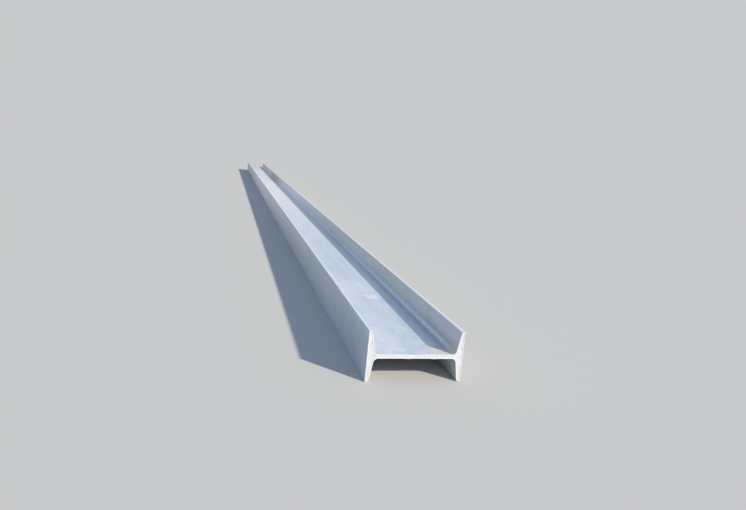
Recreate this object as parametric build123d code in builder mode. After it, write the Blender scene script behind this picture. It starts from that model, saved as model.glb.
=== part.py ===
import os

from build123d import *

# A rolled steel I-beam with tapered flanges, one piece of stock sawn to length.
# It lies with its web level, on the edges of its two flanges. Y runs along the beam,
# Z points up, and the origin is at floor level under the middle of the beam.

# Driving dimensions of the section, in millimetres
section_depth = 180.0  # over the outer faces of the two flanges
flange_width = 94.0
web_thickness = 6.5
flange_thickness = 10.7  # half-way between the web and the edge of the flange
flange_slope = 1 / 6  # how much a flange thickens for each unit towards the web
root_radius = 8.5  # between the web and a flange
toe_radius = 4.3  # inner corner of a flange's edge
corner_radius = 1.2  # outer corner of a flange's edge, as the rolls leave it

# Length of the stock
beam_length = 6000.0

# Places in the section that follow from those sizes
half_depth = section_depth / 2
web_middle = flange_width / 2
flange_outstand = (flange_width - web_thickness) / 2  # on each side of the web
taper = flange_slope * flange_outstand / 2  # either way from where the thickness is given
root_x = half_depth - flange_thickness - taper
toe_x = half_depth - flange_thickness + taper

with BuildPart() as i_beam:
    with BuildSketch(Plane.XZ) as section:
        # One flange, thickest along the web and thinner towards both of its edges
        with BuildLine():
            Polyline(
                (half_depth, 0),
                (half_depth, flange_width),
                (toe_x, flange_width),
                (root_x, web_middle + web_thickness / 2),
                (root_x, web_middle - web_thickness / 2),
                (toe_x, 0),
                close=True,
            )
        make_face()
        # The other flange, and the web between them
        mirror(about=Plane.YZ)
        with Locations((0, web_middle)):
            Rectangle(2 * root_x, web_thickness)
        # The corners stand in rows across the section: the outer corners are first and
        # last, the inner corners of the flange edges are next, and the roots are third
        for row, radius in ((2, root_radius), (1, toe_radius), (0, corner_radius)):
            rows = section.vertices().group_by(Axis.X)
            fillet(rows[row] + rows[-1 - row], radius)
    # The same section runs the whole length, and both ends are square
    extrude(amount=beam_length / 2, both=True)

i_beam.part.label = "i_beam"

os.makedirs("parts", exist_ok=True)
export_step(i_beam.part, "parts/i_beam.step")

square_millimetres = 100  # in a square centimetre
print(f"section area {i_beam.part.volume / beam_length / square_millimetres:.2f} cm2")
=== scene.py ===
import math
import random

import bmesh
import bpy
from mathutils import Matrix, Vector, noise


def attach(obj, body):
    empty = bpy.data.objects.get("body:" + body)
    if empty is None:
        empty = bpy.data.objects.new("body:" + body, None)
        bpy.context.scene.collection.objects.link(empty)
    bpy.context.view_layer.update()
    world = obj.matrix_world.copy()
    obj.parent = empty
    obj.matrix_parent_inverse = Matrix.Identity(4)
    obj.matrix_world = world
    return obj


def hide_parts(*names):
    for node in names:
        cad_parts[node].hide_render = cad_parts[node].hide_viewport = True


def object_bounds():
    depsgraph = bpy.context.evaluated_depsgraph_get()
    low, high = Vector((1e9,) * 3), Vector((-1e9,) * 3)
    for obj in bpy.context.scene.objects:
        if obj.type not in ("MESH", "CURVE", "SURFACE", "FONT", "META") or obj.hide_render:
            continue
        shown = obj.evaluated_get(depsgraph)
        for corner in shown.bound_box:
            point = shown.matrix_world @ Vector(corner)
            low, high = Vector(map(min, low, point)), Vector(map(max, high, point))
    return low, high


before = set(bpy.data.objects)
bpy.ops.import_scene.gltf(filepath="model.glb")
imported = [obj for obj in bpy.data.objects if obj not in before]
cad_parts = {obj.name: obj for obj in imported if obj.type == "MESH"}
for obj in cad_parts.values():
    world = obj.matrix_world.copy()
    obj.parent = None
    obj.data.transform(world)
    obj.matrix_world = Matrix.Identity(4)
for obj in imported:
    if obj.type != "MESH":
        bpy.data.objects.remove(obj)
cadLow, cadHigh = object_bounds()
scene = bpy.context.scene
scene.view_settings.view_transform = "Standard"

# Metres and degrees. Y runs along the beam, Z is up and the floor is at zero.
halfDepth = cadHigh.x
halfLength = cadHigh.y
beamHeight = cadHigh.z
webLevel = beamHeight / 2
touch = 1e-5  # what is nearer than this is in the same place


# Camera

cameraSet = {
    "place": (-0.3435, -3.9241, 0.4042),
    "heading": -14.95,  # to the right of the beam's line
    "tilt": 90 - 10.49,  # from straight down
    "roll": 5.67,
    "focalPixels": 580.5,
    "imageWidth": 746,
    "sensorWidth": 36.0,
    "nearest": 0.05,
    "farthest": 200,
}


def makeCamera():
    data = bpy.data.cameras.new("camera")
    data.sensor_width = cameraSet["sensorWidth"]
    data.lens = cameraSet["focalPixels"] * cameraSet["sensorWidth"] / cameraSet["imageWidth"]
    data.clip_start = cameraSet["nearest"]
    data.clip_end = cameraSet["farthest"]
    camera = bpy.data.objects.new("camera", data)
    scene.collection.objects.link(camera)
    turn = (
        Matrix.Rotation(math.radians(cameraSet["heading"]), 4, "Z")
        @ Matrix.Rotation(math.radians(cameraSet["tilt"]), 4, "X")
        @ Matrix.Rotation(math.radians(cameraSet["roll"]), 4, "Z")
    )
    camera.matrix_world = Matrix.Translation(cameraSet["place"]) @ turn
    scene.camera = camera


makeCamera()
print("camera ready")


# Light and floor

studio = {
    "keyFrom": (0.57, -0.626, 0.532),  # where the light comes from, seen from the beam
    "keyStrength": 4.26,
    "keyColour": (1.0, 0.915, 0.765),
    "keySoftness": 2.5,
    "fill": (0.295, 0.39, 0.545),
    "floorColour": (0.57, 0.56, 0.545),
    "floorSize": 60,
}


def makeKey():
    data = bpy.data.lights.new("keyLight", "SUN")
    data.energy = studio["keyStrength"]
    data.color = studio["keyColour"]
    data.angle = math.radians(studio["keySoftness"])
    lamp = bpy.data.objects.new("keyLight", data)
    lamp.rotation_euler = Vector(studio["keyFrom"]).to_track_quat("Z", "Y").to_euler()
    scene.collection.objects.link(lamp)


def floorShade():
    # the floor's colour as the lamps show it, so that the backdrop joins it without a line
    rise = Vector(studio["keyFrom"]).normalized().z
    key = studio["keyStrength"] * rise / math.pi
    parts = zip(studio["floorColour"], studio["keyColour"], studio["fill"])
    return [paint * (key * lamp + fill) for paint, lamp, fill in parts]


def makeWorld():
    # the fill lights the beam, and the backdrop shows to the camera and in gloss
    world = bpy.data.worlds.new("studio")
    world.use_nodes = True
    scene.world = world
    nodes, links = world.node_tree.nodes, world.node_tree.links
    nodes.clear()
    rays = nodes.new("ShaderNodeLightPath")
    isBackdrop = rays.outputs["Is Camera Ray"]
    for kind in ("Is Glossy Ray", "Is Transmission Ray"):
        either = nodes.new("ShaderNodeMath")
        either.operation = "MAXIMUM"
        links.new(isBackdrop, either.inputs[0])
        links.new(rays.outputs[kind], either.inputs[1])
        isBackdrop = either.outputs[0]
    choose = nodes.new("ShaderNodeMixShader")
    links.new(isBackdrop, choose.inputs[0])
    for index, colour in ((1, studio["fill"]), (2, floorShade())):
        light = nodes.new("ShaderNodeBackground")
        light.inputs["Color"].default_value = (*colour, 1)
        links.new(light.outputs[0], choose.inputs[index])
    out = nodes.new("ShaderNodeOutputWorld")
    links.new(choose.outputs[0], out.inputs["Surface"])


def makeFloor():
    bm = bmesh.new()
    bmesh.ops.create_grid(bm, x_segments=1, y_segments=1, size=studio["floorSize"])
    mesh = bpy.data.meshes.new("floor")
    bm.to_mesh(mesh)
    bm.free()
    floor = bpy.data.objects.new("floor", mesh)
    scene.collection.objects.link(floor)
    paint = bpy.data.materials.new("floorPaint")
    paint.use_nodes = True
    shader = paint.node_tree.nodes["Principled BSDF"]
    shader.inputs["Base Color"].default_value = (*studio["floorColour"], 1)
    shader.inputs["Roughness"].default_value = 1
    shader.inputs["Specular IOR Level"].default_value = 0
    mesh.materials.append(paint)


makeKey()
makeWorld()
makeFloor()
print("studio ready")


# The beam's shape

beam = {
    "webThickness": 0.0065,
    "flangeThickness": 0.0107,  # half-way out along the flange
    "flangeSlope": 1 / 6,
    "rootRadius": 0.0085,
    "toeRadius": 0.0043,
    "cornerRadius": 0.0012,
    "rootSteps": 7,
    "toeSteps": 6,
    "cornerSteps": 3,
    "bodyCell": 0.0105,  # size of the mesh's cells across the section
    "bodySteps": 400,  # cells along the beam between its ends
    "endZone": 0.05,  # stretch at each end with finer cells
    "endCell": 0.002,
    "endRounding": 0.0008,  # zinc softens the sawn arris
    "endRoundingSteps": 2,
    "endFacing": 0.9,  # a face that turns this far towards Y belongs to an end
    "rimStrips": (0.0006, 0.0006, 0.0007),  # strips of a sawn end that follow its outline
    "rimMerge": 0.0005,
    "mirrorMerge": 1e-6,
    "sawnCell": 0.0012,
}
halfWeb = beam["webThickness"] / 2
halfWidth = beamHeight / 2
taper = beam["flangeSlope"] * (halfWidth - halfWeb) / 2
rootX = halfDepth - beam["flangeThickness"] - taper
toeX = halfDepth - beam["flangeThickness"] + taper
alongTaper = Vector((toeX - rootX, 0, halfWidth - halfWeb)).normalized()
intoFlange = Vector((alongTaper.z, 0, -alongTaper.x))
rootTurn = math.atan(1 / beam["flangeSlope"])  # turn of the outline at the root and at the toe
rootMiddle = Vector((rootX - beam["rootRadius"] * math.tan(rootTurn / 2), 0, halfWeb + beam["rootRadius"]))


def quarterSection(bm):
    # right of the middle and above the web's middle
    places = (
        (0, 0),
        (halfDepth, 0),
        (halfDepth, halfWidth),
        (toeX, halfWidth),
        (rootX, halfWeb),
        (0, halfWeb),
    )
    corners = [bm.verts.new((x, -halfLength, z)) for x, z in places]
    bm.faces.new(corners)
    outerCorner, toe, root = corners[2:5]
    rounding = (
        (root, beam["rootRadius"], beam["rootSteps"], rootTurn),
        (toe, beam["toeRadius"], beam["toeSteps"], rootTurn),
        (outerCorner, beam["cornerRadius"], beam["cornerSteps"], math.pi / 2),
    )
    for corner, radius, arcSteps, turn in rounding:
        bmesh.ops.bevel(
            bm,
            geom=[corner],
            offset=radius * math.tan(turn / 2),
            segments=arcSteps,
            profile=0.5,
            affect="VERTICES",
            material=-1,
        )


def everything(bm):
    return bm.verts[:] + bm.edges[:] + bm.faces[:]


def cut(bm, geom, axis, places, middle=0):
    # square to an axis at each place, and at its mirror image
    normal = Vector((axis == "x", axis == "y", axis == "z"))
    for place in [middle + side * p for p in places for side in (-1, 1)]:
        made = bmesh.ops.bisect_plane(bm, geom=geom, dist=touch, plane_co=normal * place, plane_no=normal)
        geom = list(dict.fromkeys(made["geom"]))
    return geom


def steps(first, last, size):
    return [first + size * n for n in range(int((last - first) / size) + 1)]


def inOrder(bm):
    # operators leave the mesh in an order that changes from run to run, so it is laid anew by place
    corners = sorted(bm.verts, key=lambda vert: tuple(vert.co))
    for index, vert in enumerate(corners):
        vert.index = index
    rings = []
    for face in bm.faces:
        ring = [vert.index for vert in face.verts]
        first = ring.index(min(ring))
        rings.append(ring[first:] + ring[:first])
    places = [vert.co.copy() for vert in corners]
    bm.clear()
    corners = [bm.verts.new(place) for place in places]
    for ring in sorted(rings):
        bm.faces.new([corners[index] for index in ring])
    bm.normal_update()


def makePrism(bm):
    # the section is drawn out along the beam in three stretches
    last = everything(bm)
    for length in (beam["endZone"], 2 * (halfLength - beam["endZone"]), beam["endZone"]):
        made = bmesh.ops.spin(
            bm,
            geom=last,
            cent=(0, 0, 0),
            axis=(0, 1, 0),
            dvec=(0, length, 0),
            angle=0,
            steps=1,
            use_duplicate=False,
        )
        last = made["geom_last"]
    bmesh.ops.recalc_face_normals(bm, faces=bm.faces[:])


def divideAlong(bm, isThere, count):
    edges = [e for e in bm.edges if isThere(abs(e.verts[0].co.y + e.verts[1].co.y) / 2)]
    bmesh.ops.subdivide_edges(bm, edges=edges, cuts=count - 1, use_grid_fill=True)


def withEdges(faces):
    geom = list(faces)
    for face in faces:
        geom += [*face.verts, *face.edges]
    return list(dict.fromkeys(geom))


def endFaces(bm, side):
    return [f for f in bm.faces if side * f.calc_center_median().y > halfLength - touch]


def sawnFace(bm, side):
    return max(endFaces(bm, side), key=lambda face: face.calc_area())


def refineEnds(bm):
    # finer cells on the sides near both ends, and one face for each sawn end
    cell = beam["endCell"]
    middle = halfLength - beam["endZone"] / 2
    rootTop = halfWeb + beam["rootRadius"]

    def sides(innermost=0):
        centres = [(f, f.calc_center_median()) for f in bm.faces]
        return withEdges([f for f, c in centres if abs(abs(c.y) - middle) < cell and abs(c.x) > innermost])

    geom = cut(bm, sides(), "x", steps(cell, rootX - beam["rootRadius"], cell))
    cut(bm, geom, "z", steps(rootTop, halfWidth - beam["toeRadius"], cell), webLevel)
    cut(bm, sides(halfDepth - touch), "z", steps(cell / 2, rootTop - cell / 2, cell), webLevel)
    divideAlong(bm, lambda y: abs(y - middle) < cell, round(beam["endZone"] / cell))
    for side in (-1, 1):
        bmesh.ops.dissolve_faces(bm, faces=endFaces(bm, side))


def roundEnds(bm):
    def isRim(edge):
        level = abs(edge.verts[0].co.y) == abs(edge.verts[1].co.y)
        return level and sorted(abs(f.normal.y) > beam["endFacing"] for f in edge.link_faces) == [0, 1]

    bmesh.ops.bevel(
        bm,
        geom=[e for e in bm.edges if isRim(e)],
        offset=beam["endRounding"],
        segments=beam["endRoundingSteps"],
        profile=0.5,
        affect="EDGES",
        material=-1,
    )


def layStrips(bm):
    # strips along the outline of each sawn end, and small cells inside them
    cell = beam["sawnCell"]
    for side in (-1, 1):
        for width in beam["rimStrips"]:
            bmesh.ops.remove_doubles(bm, verts=sawnFace(bm, side).verts[:], dist=beam["rimMerge"])
            bmesh.ops.inset_region(
                bm,
                faces=[sawnFace(bm, side)],
                thickness=width,
                use_boundary=True,
                use_even_offset=True,
            )
        bmesh.ops.remove_doubles(bm, verts=sawnFace(bm, side).verts[:], dist=beam["rimMerge"])
        geom = cut(bm, withEdges([sawnFace(bm, side)]), "x", steps(cell / 2, halfDepth, cell))
        cut(bm, geom, "z", steps(cell / 2, halfWidth, cell), webLevel)


# Zinc, as relief

zinc = {
    "seed": 18,
    # bumps to the metre across and along the beam, and a shift that sets the pattern apart
    "patterns": {
        "wave": (9.0, 1.7, 0),
        "lump": (60.0, 60.0, 3),
        "smallLump": (138.0, 40.0, 5),
        "rim": (95.0, 0, 4),
        "buildUp": (110.0, 60.0, 7),
        "hollow": (70.0, 70.0, 9),
    },
    "waveDepth": 0.0002,  # shallow waves the rolls leave
    "lumpDepth": 0.0001,
    "edgeBand": 0.006,  # the relief turns inward over this band beside the box of the beam
    "edgeHold": 1.2,  # above 1 it is wholly inward before the edge
    "buildUp": 0.0006,  # zinc that gathers near the ends
    "buildUpReach": 0.009,
    "buildUpShare": 0.4,  # how much of it is there before the pattern varies it
    "rimWander": 0.0003,
    "rimReach": 0.004,
    "beadWidth": (0.0010, 0.0027),  # zinc stands proud along the rim of a sawn end
    "hollow": 0.00055,
    "hollowShare": 0.8,  # how much of it is there before the pattern varies it
    "sawDepth": 0.0002,
    "sawSize": 150.0,
    "sawNoise": (0.8, 2.1, 3),  # its roughness, the step between its octaves and how many there are
    "sawPeak": 0.6,  # the noise is cut off above this, which leaves a flat top between the marks
    "nicks": 60,
    "nickDepth": (0.0001, 0.0005),
    "nickLength": (0.012, 0.035),
    "lowerBead": 0.0006,  # zinc drains to the lower side of the web at the ends
    "lowerBeadReach": 0.005,
    "lowerFacing": -0.2,  # a face whose normal is lower than this looks down
    "drips": 9,
    "dripDepth": (0.0003, 0.0010),
    "dripWidth": (0.002, 0.004),
    "dripStretch": 1.5,
    "dripReach": 0.01,
    "sawnHold": 1.6,  # above 1 the look of the sawn face goes on over the arris and a little past it
    "sideFacing": 0.1,  # the relief follows the face's own way out where it turns this far from Y
}


def clamp(value, low=0, high=1):
    return max(low, min(high, value))


def grain(place, name):
    across, along, shift = zinc["patterns"][name]
    return noise.noise(Vector((place.x * across + shift, place.y * along, place.z * across - shift)))


def fromOutline(place):
    # how far in from the section's outline, and the way out to it; the flange's edges count as square
    out, up = Vector((1, 0, 0)), Vector((0, 0, 1))
    corner = Vector((abs(place.x), 0, abs(place.z - webLevel)))
    fromRoot = corner - rootMiddle
    if fromRoot.x > 0 and fromRoot.dot(alongTaper) < 0:
        inner = (fromRoot.length - beam["rootRadius"], -fromRoot.normalized())
    elif fromRoot.x > 0:
        inner = ((corner - Vector((rootX, 0, halfWeb))).dot(intoFlange), -intoFlange)
    else:
        inner = (halfWeb - corner.z, up)
    outer = ((halfDepth - corner.x, out), (halfWidth - corner.z, up))
    inside, way = min(inner, *outer, key=lambda face: face[0])
    side, half = math.copysign(1, place.x), math.copysign(1, place.z - webLevel)
    return inside, Vector((side * way.x, 0, half * way.z))


def hollowness(place, inside):
    # 0 on the bead along the rim of an end, 1 in the hollow inside it
    near, far = zinc["beadWidth"]
    return clamp((inside - near) / (far - near)) * clamp(zinc["hollowShare"] + grain(place, "hollow"))


def endRelief(place, inside):
    peak = zinc["sawPeak"]
    rough = clamp(noise.fractal(place * zinc["sawSize"], *zinc["sawNoise"]), -1, peak) - peak
    sawn = zinc["sawDepth"] * clamp(inside / zinc["beadWidth"][1]) * rough
    return sawn - zinc["hollow"] * hollowness(place, inside)


def nearBox(place):
    # 1 where the section touches its box, 0 well inside it
    room = min(halfDepth - abs(place.x), halfWidth - abs(place.z - webLevel))
    return clamp(zinc["edgeHold"] - room / zinc["edgeBand"])


def sideRelief(place):
    fromEnd = halfLength - abs(place.y)
    outermost = nearBox(place)
    wave = grain(place, "wave")
    lump = grain(place, "lump") + grain(place, "smallLump") / 2
    height = zinc["waveDepth"] * (wave - outermost / 2) + zinc["lumpDepth"] * (lump - outermost)
    rim = clamp(1 - fromEnd / zinc["rimReach"])
    height += rim * zinc["rimWander"] * (grain(place, "rim") - outermost / 2)
    gathered = math.exp(-fromEnd / zinc["buildUpReach"]) * clamp(fromEnd / zinc["rimReach"])
    gathered *= 1 - outermost
    return height + zinc["buildUp"] * gathered * clamp(zinc["buildUpShare"] + grain(place, "buildUp"))


def nickDrop(place, nicks):
    drop = 0
    for side, up, y, depth, length in nicks:
        if side * place.x > 0 and up * (place.z - webLevel) > 0:
            drop -= up * depth * math.exp(-(((place.y - y) / length) ** 2))
    return drop


def dripDrop(place, drips):
    fromEnd = halfLength - abs(place.y)
    drop = -zinc["lowerBead"] * math.exp(-((fromEnd / zinc["lowerBeadReach"]) ** 2))
    for end, x, depth, width in drips:
        if end * place.y > 0:
            spread = ((place.x - x) / width) ** 2 + (fromEnd / width / zinc["dripStretch"]) ** 2
            drop -= depth * math.exp(-spread)
    return drop


def zincRelief(bm):
    bm.normal_update()
    chance = random.Random(zinc["seed"])
    nicks = [
        (
            chance.choice((-1, 1)),
            chance.choice((-1, 1)),
            chance.uniform(-halfLength, halfLength),
            chance.uniform(*zinc["nickDepth"]),
            chance.uniform(*zinc["nickLength"]),
        )
        for _ in range(zinc["nicks"])
    ]
    drips = [
        (
            chance.choice((-1, 1)),
            chance.uniform(-rootX, rootX),
            chance.uniform(*zinc["dripDepth"]),
            chance.uniform(*zinc["dripWidth"]),
        )
        for _ in range(zinc["drips"])
    ]
    sawn = bm.verts.layers.float.new("sawn")
    hollow = bm.verts.layers.float.new("hollow")
    moves = []
    for vert in bm.verts:
        place, normal = vert.co, vert.normal
        fromEnd = halfLength - abs(place.y)
        inside, way = fromOutline(place)
        vert[sawn] = clamp(zinc["sawnHold"] - fromEnd / beam["endRounding"])
        vert[hollow] = hollowness(place, inside)
        flat = Vector((normal.x, 0, normal.z))
        if flat.length > zinc["sideFacing"]:
            way = flat.normalized()
        move = way * sideRelief(place) * clamp(1 - inside / zinc["beadWidth"][1])
        if fromEnd < touch:
            move.y = math.copysign(1, place.y) * endRelief(place, inside)
        if abs(place.z - webLevel) > halfWidth - beam["toeRadius"]:
            move.z += nickDrop(place, nicks)
        isUnderWeb = normal.z < zinc["lowerFacing"] and abs(place.z - webLevel) < beam["webThickness"]
        if isUnderWeb and fromEnd < zinc["dripReach"]:
            move.z += dripDrop(place, drips)
        moves.append(move)
    low, high = Vector((-halfDepth, -halfLength, 0)), Vector((halfDepth, halfLength, beamHeight))
    for vert, move in zip(bm.verts, moves):
        vert.co = Vector(clamp(c, a, b) for a, b, c in zip(low, high, vert.co + move))


def makeBeam():
    bm = bmesh.new()
    quarterSection(bm)
    cell = beam["bodyCell"]
    cut(bm, everything(bm), "x", steps(cell, rootX - beam["rootRadius"], cell))
    cut(bm, everything(bm), "z", steps(halfWeb + beam["rootRadius"], halfWidth - beam["toeRadius"], cell))
    for axis in ("X", "Z"):
        bmesh.ops.mirror(bm, geom=everything(bm), merge_dist=beam["mirrorMerge"], axis=axis)
    bmesh.ops.translate(bm, verts=bm.verts[:], vec=(0, 0, webLevel))
    bmesh.ops.recalc_face_normals(bm, faces=bm.faces[:])
    makePrism(bm)
    inOrder(bm)
    refineEnds(bm)
    roundEnds(bm)
    layStrips(bm)
    inOrder(bm)
    divideAlong(bm, lambda y: y < halfLength / 2, beam["bodySteps"])
    print("beam mesh has", sum(len(f.verts) - 2 for f in bm.faces), "triangles")
    zincRelief(bm)
    for face in bm.faces:
        face.smooth = True
    mesh = bpy.data.meshes.new("iBeam")
    bm.to_mesh(mesh)
    bm.free()
    piece = bpy.data.objects.new("iBeam", mesh)
    scene.collection.objects.link(piece)
    return piece


iBeam = makeBeam()
print("beam shaped")


# Zinc, as colour

finish = {
    "blueZinc": (0.545, 0.63, 0.75),
    "lavenderZinc": (0.635, 0.69, 0.805),
    "greyZinc": (0.642, 0.642, 0.618),  # on the flanges' faces that are turned to -X, away from the key light; the grey-green is the zinc's own, painted paler there as painted bounce light
    "greenZinc": (0.555, 0.625, 0.555),
    # paler zinc further along, as painted bounce light
    "farBounceLight": (0.785, 0.81, 0.83),
    # painted shade on the web beside the right root
    "paintedRootShade": (0.26, 0.33, 0.46),
    "sunlitZinc": (0.46, 0.50, 0.56),  # painted darker on the flanges' faces that are turned to +X, where the key light falls
    "skyReflectionInFillet": (0.67, 0.78, 0.89),  # painted reflection of the sky in the right fillets
    "greyShadePaint": (0.67, 0.565, 0.452),  # painted shade, a warmer grey on the far part of the right side's shaded faces
    "paleZinc": (0.69, 0.74, 0.83),
    "chalk": (0.80, 0.81, 0.84),
    "frost": (0.85, 0.88, 0.96),
    # painted highlight along the upper edges, and pale zinc at the lower edges and sawn ends
    "highlightAndPaleArris": (0.81, 0.845, 0.92),
    "darkZinc": (0.30, 0.34, 0.38),
    "mauveZinc": (0.695, 0.635, 0.72),
    "dullZinc": (0.62, 0.56, 0.53),
    "cream": (0.69, 0.695, 0.645),
    "endWhite": (0.735, 0.755, 0.79),
    # painted shade in the hollow inside the sawn end's bead
    "endHollowShade": (0.665, 0.68, 0.705),
    "endTan": (0.52, 0.50, 0.47),
    "sunlitShare": 0.8,
    "dimTone": 0.77,  # how bright these two spots are left
    "dullWebTone": 0.85,
    "pimpleShare": 0.6,
    "sunlitFlecks": 0.35,  # how much is left of the flecks on the sunlit faces
    "edgeWander": 0.005,  # how far the painted edge highlight wanders up and down
    "rimWander": 0.003,
    "farStart": -1.5,  # the painted bounce light starts here
    "leftFarStart": -2.3,  # and from here on the left flange's outer face
    "farEnd": -0.3,
    "metallic": 0.25,
    "endMetallic": 0.05,
    "specular": 0.35,
    "endRoughness": 0.2,  # added on the sawn ends
    "bumpStrength": 0.4,
    "bumpHeight": 0.0006,
    "bumpShares": {"streak": 0.6, "pebble": 0.7, "fine": 0.35, "pimples": 0.8},
    "crystalSize": 90.0,
    "wobbleSize": 120.0,  # noise that bends the crystals' edges
    "wobbleDetail": 3.0,
    "wobbleReach": 0.012,
    "spotCore": 0.4,  # a spot is full out to this share of its reach
    # bumps to the metre; long draws them out along the axes, and turn has turned these
    "patterns": {
        "cloud": {"size": 5.0, "detail": 5},
        "patch": {"size": 2.6, "detail": 3, "long": (0.35, 1, 0.35)},
        "green": {"size": 9.0, "detail": 3, "long": (1, 1.5, 1)},
        "streak": {"size": 60.0, "detail": 4, "long": (1, 50, 1)},
        "mottle": {"size": 55.0, "detail": 5, "rough": 0.65},
        "grit": {"size": 650.0, "detail": 3, "rough": 0.6},
        "marks": {"size": 14.0, "detail": 6, "rough": 0.7, "long": (1, 2, 1)},
        "brushed": {"size": 110.0, "detail": 5, "rough": 0.6, "long": (4, 1, 1), "turn": -50},
        "fleckCloud": {"size": 14.0, "detail": 2},
        "fleck": {"size": 230.0, "detail": 3, "rough": 0.6},
        "wanderNoise": {"size": 90.0, "detail": 5, "rough": 0.65, "long": (1, 3, 1)},
        "endBroad": {"size": 120.0, "detail": 5, "rough": 0.7},
        "endBlotch": {"size": 330.0, "detail": 5, "rough": 0.75},
        "endGrit": {"size": 600.0, "detail": 4, "rough": 0.7},
        "pebble": {"size": 190.0, "detail": 3, "rough": 0.5},
        "fine": {"size": 520.0, "detail": 3},
    },
    # cells to the metre, the share of them with a speck, and its radius beside a cell's size
    "specks": {
        "pimples": (45.0, 0.2, 0.1),
        "tanSpecks": (70.0, 0.06, 0.1),
    },
    # middle and reach of an ellipsoid, and how strong the spot is
    "spots": {
        "pale": ((-0.05, -2.94, webLevel), (0.055, 0.16, 0.01), 0.7),  # paler stretch of the web
        "blue": ((0.0, -2.70, webLevel), (0.095, 0.16, 0.01), 0.9),  # bluer stretch of the web
        "shadePale": ((0.052, -2.49, webLevel), (0.028, 0.14, 0.01), 0.8),  # paler web near the right root
        "dim": ((0.078, 1.15, 0.066), (0.05, 0.62, 0.05), 1),  # darkest stretch of the right side
        "dullWeb": ((-0.02, 2.65, webLevel), (0.09, 0.65, 0.01), 1),  # duller web at the far end
        "frost": ((0.016, -2.606, webLevel), (0.024, 0.036, 0.01), 1),  # brushed marks on the web
        "mauve": ((0.081, -2.95, 0.080), (0.02, 0.12, 0.022), 0.6),  # on the right flange's inner face
        "dullCorner": ((0.078, -3.0, 0.056), (0.013, 0.07, 0.022), 0.9),  # at the end of the right root
        "cream": ((0.052, -3.0, webLevel), (0.042, 0.058, 0.01), 1),  # stain beside the right root
        "crust": ((0.05, -3.0, webLevel), (0.042, 0.014, 0.01), 1),  # white zinc along the near end
    },
    # where a ramp starts and ends, and its values there where they aren't 0 and 1
    "ramps": {
        # across the beam
        "right": (-0.01, 0.01),
        "outer": (halfDepth - 0.002, halfDepth - 0.001),
        "flange": (rootX - 0.001, rootX + 0.002, 0, 0.85),
        "rootBegins": (rootX - 0.0045, rootX - 0.0015),
        "rootEnds": (rootX + 0.0007, rootX + 0.002),
        "sunlit": (rootX - 0.011, rootX - 0.002),
        "shadeBegins": (0.036, 0.044),
        "besideBegins": (0.046, 0.068),
        "webEnds": (rootX - 0.005, rootX - 0.001),
        "webShadeGreying": (0.040, 0.050, 0, 0.5),
        "flangeShadeGreying": (rootX - 0.003, rootX + 0.002, 0, 0.25),
        "highlightRight": (-0.01, 0.01, 0.45, 1),
        # up from the floor
        "belowEdge": (beamHeight - 0.0025, beamHeight - 0.0005, 1, 0),
        "footBegins": (0.0565, 0.0595),
        "footEnds": (0.064, 0.073),
        "fleckBand": (beamHeight - 0.020, beamHeight - 0.010),
        "highlightTop": (beamHeight - 0.0006, beamHeight + 0.0022),
        "wornBottom": (0.001, 0.003, 0.2, 0),
        # along the beam
        "blueNear": (-2.75, -1.9, 0.55, 0),
        "reflectionFades": (-2.5, -1.9, 0.8, 0.1),
        "reflectionFromEnd": (-2.98, -2.91, 0.1, 1),
        "lessFar": (0.7, 1.7, 0, 0.6),
        "shadeTone": (-2.2, -1.75, 1.09, 1),
        "besideFades": (-2.85, -1.2, 0.6, 0.2),
        "besideThins": (-1.1, -0.6, 1, 0.3),
        "footShadeTone": (-2.85, -2.5, 0.88, 0.94),
        "shadeGreying": (0.3, 1.2),
        "rim": (halfLength - 0.001, halfLength, 0, 0.5),
        # how strong the painted bounce light is on the flanges, and how much less on their sunlit faces
        "paling": (0, 0.85, 0.7, 0.95),
        "sunlitPaling": (0, 1, 0, 0.7),
        # in a pattern
        "patch": (0.4, 0.6),
        "green": (0.42, 0.58),
        "cloud": (0.42, 0.72, 0, 0.3),
        "marks": (0.64, 0.74, 0, 0.5),
        "brushed": (0.47, 0.55),
        "cream": (0.3, 0.45, 0.7, 1),
        "fleckCloud": (0.5, 0.6),
        "paleFleck": (0.55, 0.62),
        "darkFleck": (0.43, 0.37, 0, 0.5),
        "streakTone": (0.3, 0.7, 0.955, 1.045),
        "mottleTone": (0.3, 0.7, 0.965, 1.035),
        "crystalTone": (0, 1, 0.955, 1.045),
        "gritTone": (0.3, 0.7, 0.97, 1.03),
        "mottleRoughness": (0.3, 0.7, 0.46, 0.6),
        "crystalRoughness": (0, 1, -0.07, 0.07),
        "endBroad": (0.55, 0.75, 0, 0.6),
        "endBlotch": (0.58, 0.68, 0, 0.75),
        "endTone": (0.3, 0.7, 0.88, 1.08),
    },
}

hotDipZinc = bpy.data.materials.new("hotDipZinc")
hotDipZinc.use_nodes = True
tree = hotDipZinc.node_tree


def plug(socket, value):
    if isinstance(value, bpy.types.NodeSocket):
        tree.links.new(value, socket)
    else:
        socket.default_value = value


def add(kind, values=None, **settings):
    made = tree.nodes.new("ShaderNode" + kind)
    for name, value in settings.items():
        setattr(made, name, value)
    for name, value in (values or {}).items():
        plug(made.inputs[name], value)
    return made


place = add("TexCoord").outputs["Object"]


def maths(how, first, second=0.0):
    return add("Math", {0: first, 1: second}, operation=how).outputs[0]


def less(first, second):
    return maths("SUBTRACT", first, second)


def times(first, *others):
    for other in others:
        first = maths("MULTIPLY", first, other)
    return first


def ranged(value, low, high, first=0, last=1):
    values = {"Value": value, "From Min": low, "From Max": high, "To Min": first, "To Max": last}
    return add("MapRange", values).outputs[0]


def ramp(value, name):
    return ranged(value, *finish["ramps"][name])


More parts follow.
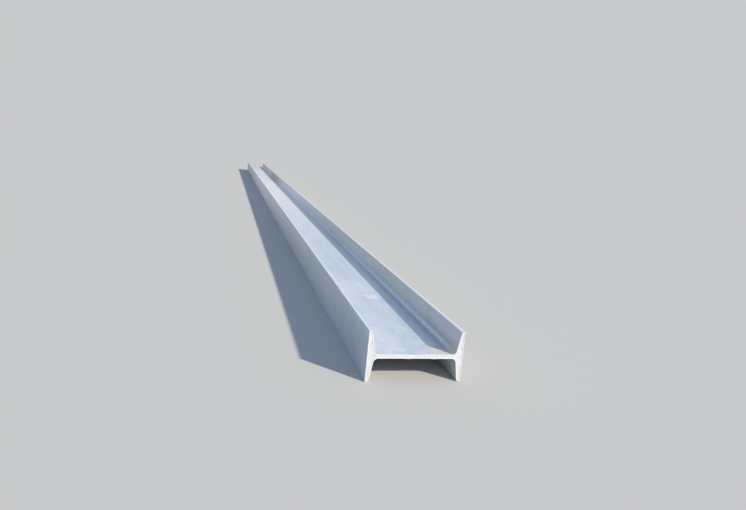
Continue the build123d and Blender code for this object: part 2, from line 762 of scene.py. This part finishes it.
def mixed(amount, first, second, how="MIX"):
    made = add("Mix", {0: amount}, data_type="RGBA", blend_type=how)
    for index, colour in ((6, first), (7, second)):
        plug(made.inputs[index], (*colour, 1) if isinstance(colour, tuple) else colour)
    return made.outputs[2]


def painted(colour, amount, name):
    return mixed(amount, colour, finish[name])


def toned(colour, tone):
    grey = add("CombineColor", {0: tone, 1: tone, 2: tone}).outputs[0]
    return mixed(1.0, colour, grey, "MULTIPLY")


def tonedWhere(colour, amount, tone):
    return toned(colour, ranged(amount, 0, 1, 1, tone))


def pattern(name):
    chosen = finish["patterns"][name]
    turn = (0, 0, math.radians(chosen.get("turn", 0)))
    values = {"Vector": place, "Scale": chosen.get("long", (1, 1, 1)), "Rotation": turn}
    moved = add("Mapping", values, vector_type="TEXTURE").outputs[0]
    values = {
        "Vector": moved,
        "Scale": chosen["size"],
        "Detail": chosen["detail"],
        "Roughness": chosen.get("rough", 0.55),
    }
    return add("TexNoise", values).outputs["Fac"]


def patternRamp(name):
    return ramp(pattern(name), name)


def spot(name):
    # full in the middle of an ellipsoid, 0 outside it
    middle, reach, strength = finish["spots"][name]
    shift = [-m / r for m, r in zip(middle, reach)]
    values = {"Vector": place, "Location": shift, "Scale": [1 / r for r in reach]}
    moved = add("Mapping", values).outputs[0]
    far = add("VectorMath", {0: moved}, operation="LENGTH").outputs["Value"]
    return ranged(far, finish["spotCore"], 1, strength, 0)


def cells(size, vector):
    # how far it is to the middle of a cell, and three numbers that are the cell's own
    made = add("TexVoronoi", {"Vector": vector, "Scale": size})
    return made.outputs["Distance"], add("SeparateColor", {"Color": made.outputs["Color"]}).outputs


def specks(name):
    # small round marks in a share of the cells
    size, share, radius = finish["specks"][name]
    far, numbers = cells(size, place)
    return times(maths("LESS_THAN", numbers[1], share), ranged(far, radius / 2, radius, 1, 0))


def crystalPattern():
    values = {"Vector": place, "Scale": finish["wobbleSize"], "Detail": finish["wobbleDetail"]}
    wobble = add("TexNoise", values).outputs["Color"]
    values = {0: wobble, 1: [finish["wobbleReach"]] * 3, 2: place}
    bent = add("VectorMath", values, operation="MULTIPLY_ADD").outputs[0]
    _, numbers = cells(finish["crystalSize"], bent)
    return numbers[0]


def faceMasks():
    # the place along each axis, and masks for the faces of the section
    across, along, level = add("SeparateXYZ", {0: place}).outputs
    out = maths("ABSOLUTE", across)
    right = ramp(across, "right")
    outer = ramp(out, "outer")
    turnedLeft = maths("ABSOLUTE", less(outer, right))
    flange = less(ramp(out, "flange"), times(outer, ramp(along, "blueNear")))
    return {
        "across": across,
        "along": along,
        "level": level,
        "right": right,
        "inner": less(1.0, outer),
        "leftFace": less(outer, times(outer, right)),
        "flange": times(flange, turnedLeft),
        "sunlit": times(ramp(out, "sunlit"), less(1.0, turnedLeft), ramp(level, "belowEdge")),
    }


def plainColour(faces):
    # blue to lavender on the web, grey to green on the flanges, a painted sky reflection in the right
    # fillet, painted bounce light that pales the zinc further along, and the faces turned to the key light
    # painted darker
    along, leftFace = faces["along"], faces["leftFace"]
    colour = mixed(patternRamp("patch"), finish["blueZinc"], finish["lavenderZinc"])
    colour = painted(colour, spot("pale"), "paleZinc")
    colour = painted(colour, spot("blue"), "blueZinc")
    colour = painted(colour, spot("shadePale"), "paleZinc")
    grey = mixed(patternRamp("green"), finish["greyZinc"], finish["greenZinc"])
    colour = mixed(faces["flange"], colour, grey)
    # painted reflection of the sky in the right fillet, fading along the beam and at the near end
    root = less(ramp(faces["across"], "rootBegins"), ramp(faces["across"], "rootEnds"))
    colour = painted(colour, times(root, ramp(along, "reflectionFades"), ramp(along, "reflectionFromEnd")), "skyReflectionInFillet")
    # painted bounce light: the zinc is painted paler further along, most on the flanges' faces turned from
    # the key light
    start = ranged(leftFace, 0, 1, finish["farStart"], finish["leftFarStart"])
    far = less(ranged(along, start, finish["farEnd"]), ramp(along, "lessFar"))
    paling = less(ramp(faces["flange"], "paling"), ramp(faces["sunlit"], "sunlitPaling"))
    colour = painted(colour, times(far, paling), "farBounceLight")
    colour = painted(colour, patternRamp("cloud"), "paleZinc")
    # painted shade: the flanges' faces turned to the key light are painted darker
    return painted(colour, times(faces["sunlit"], finish["sunlitShare"]), "sunlitZinc")


def rightSide(colour, faces):
    # painted light and shade on the right side: the web's strip in the flange's shadow is painted lighter
    # near the near end, the web beside the right root and the foot of that flange get painted shade, the
    # far part's shaded faces are painted a warmer grey as painted shade, and the far part is duller
    across, along, inner = faces["across"], faces["along"], faces["inner"]
    webEnds = ramp(across, "webEnds")
    shade = less(ramp(across, "shadeBegins"), webEnds)
    # painted light: the web's strip in the right flange's shadow is painted lighter near the near end
    colour = tonedWhere(colour, shade, ramp(along, "shadeTone"))
    # painted shade on the web beside the right root
    beside = less(ramp(across, "besideBegins"), webEnds)
    beside = times(beside, ramp(along, "besideFades"), ramp(along, "besideThins"))
    colour = painted(colour, beside, "paintedRootShade")
    foot = less(ramp(faces["level"], "footBegins"), ramp(faces["level"], "footEnds"))
    # painted shade at the foot of the right flange's inner face
    colour = tonedWhere(colour, times(foot, faces["right"], inner), ramp(along, "footShadeTone"))
    # painted shade: the right side's shaded faces are painted a warmer grey on the far part
    shadeGreying = maths("ADD", ramp(across, "webShadeGreying"), ramp(across, "flangeShadeGreying"))
    colour = painted(colour, times(shadeGreying, ramp(along, "shadeGreying"), inner), "greyShadePaint")
    colour = tonedWhere(colour, times(spot("dim"), inner), finish["dimTone"])
    return tonedWhere(colour, spot("dullWeb"), finish["dullWebTone"])


def marked(colour, faces, grains):
    # chalky clouds, stains at the near end, and flecks below the flanges' upper edges
    colour = painted(colour, patternRamp("marks"), "chalk")
    colour = painted(colour, times(patternRamp("brushed"), spot("frost")), "frost")
    colour = painted(colour, spot("mauve"), "mauveZinc")
    colour = painted(colour, spot("dullCorner"), "dullZinc")
    colour = painted(colour, times(spot("cream"), ramp(grains["mottle"], "cream")), "cream")
    colour = painted(colour, spot("crust"), "endWhite")
    colour = painted(colour, times(grains["pimples"], finish["pimpleShare"]), "chalk")
    band = times(ramp(faces["level"], "fleckBand"), patternRamp("fleckCloud"))
    band = times(band, ranged(faces["sunlit"], 0, 1, 1, finish["sunlitFlecks"]))
    fleck = pattern("fleck")
    colour = painted(colour, times(band, ramp(fleck, "paleFleck")), "chalk")
    colour = painted(colour, times(band, ramp(fleck, "darkFleck")), "darkZinc")
    return painted(colour, specks("tanSpecks"), "endTan")


def edgeHighlight(faces):
    # painted highlight along the flanges' upper edges, stronger on the right, with the same pale zinc
    # weaker along the lower edges and round the sawn ends
    wanderNoise = pattern("wanderNoise")
    upper = maths("ADD", faces["level"], times(wanderNoise, finish["edgeWander"]))
    edge = times(ramp(upper, "highlightTop"), ramp(faces["across"], "highlightRight"))
    towardsEnd = maths("ADD", maths("ABSOLUTE", faces["along"]), times(wanderNoise, finish["rimWander"]))
    bright = maths("MAXIMUM", edge, ramp(faces["level"], "wornBottom"))
    return maths("MAXIMUM", bright, ramp(towardsEnd, "rim"))


def endColour(hollow):
    # painted shade: the hollow inside the bead is painted greyer, on top of the relief's own shade
    colour = mixed(hollow, finish["endWhite"], finish["endHollowShade"])
    colour = painted(colour, patternRamp("endBroad"), "endTan")
    colour = painted(colour, patternRamp("endBlotch"), "endTan")
    return toned(colour, ramp(pattern("endGrit"), "endTone"))


def finishZinc():
    faces = faceMasks()
    grains = {name: pattern(name) for name in ("streak", "mottle", "grit", "pebble", "fine")}
    grains["crystal"] = crystalPattern()
    grains["pimples"] = specks("pimples")
    sawn = add("Attribute", attribute_name="sawn").outputs["Fac"]
    hollow = add("Attribute", attribute_name="hollow").outputs["Fac"]

    colour = rightSide(plainColour(faces), faces)
    for name in ("streak", "mottle", "crystal", "grit"):
        colour = toned(colour, ramp(grains[name], name + "Tone"))
    colour = marked(colour, faces, grains)
    # painted highlight along the flanges' upper edges
    colour = painted(colour, edgeHighlight(faces), "highlightAndPaleArris")
    colour = mixed(sawn, colour, endColour(hollow))

    rough = ramp(grains["mottle"], "mottleRoughness")
    rough = maths("ADD", rough, ramp(grains["crystal"], "crystalRoughness"))
    rough = maths("ADD", rough, times(sawn, finish["endRoughness"]))
    height = grains["mottle"]
    for name, share in finish["bumpShares"].items():
        height = maths("ADD", height, times(grains[name], share))
    bump = {"Height": height, "Strength": finish["bumpStrength"], "Distance": finish["bumpHeight"]}

    shader = tree.nodes["Principled BSDF"]
    plug(shader.inputs["Base Color"], colour)
    plug(shader.inputs["Roughness"], rough)
    plug(shader.inputs["Metallic"], ranged(sawn, 0, 1, finish["metallic"], finish["endMetallic"]))
    plug(shader.inputs["Specular IOR Level"], finish["specular"])
    plug(shader.inputs["Normal"], add("Bump", bump).outputs[0])


finishZinc()
iBeam.data.materials.append(hotDipZinc)
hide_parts("i_beam")
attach(iBeam, "root")
print("beam finished")
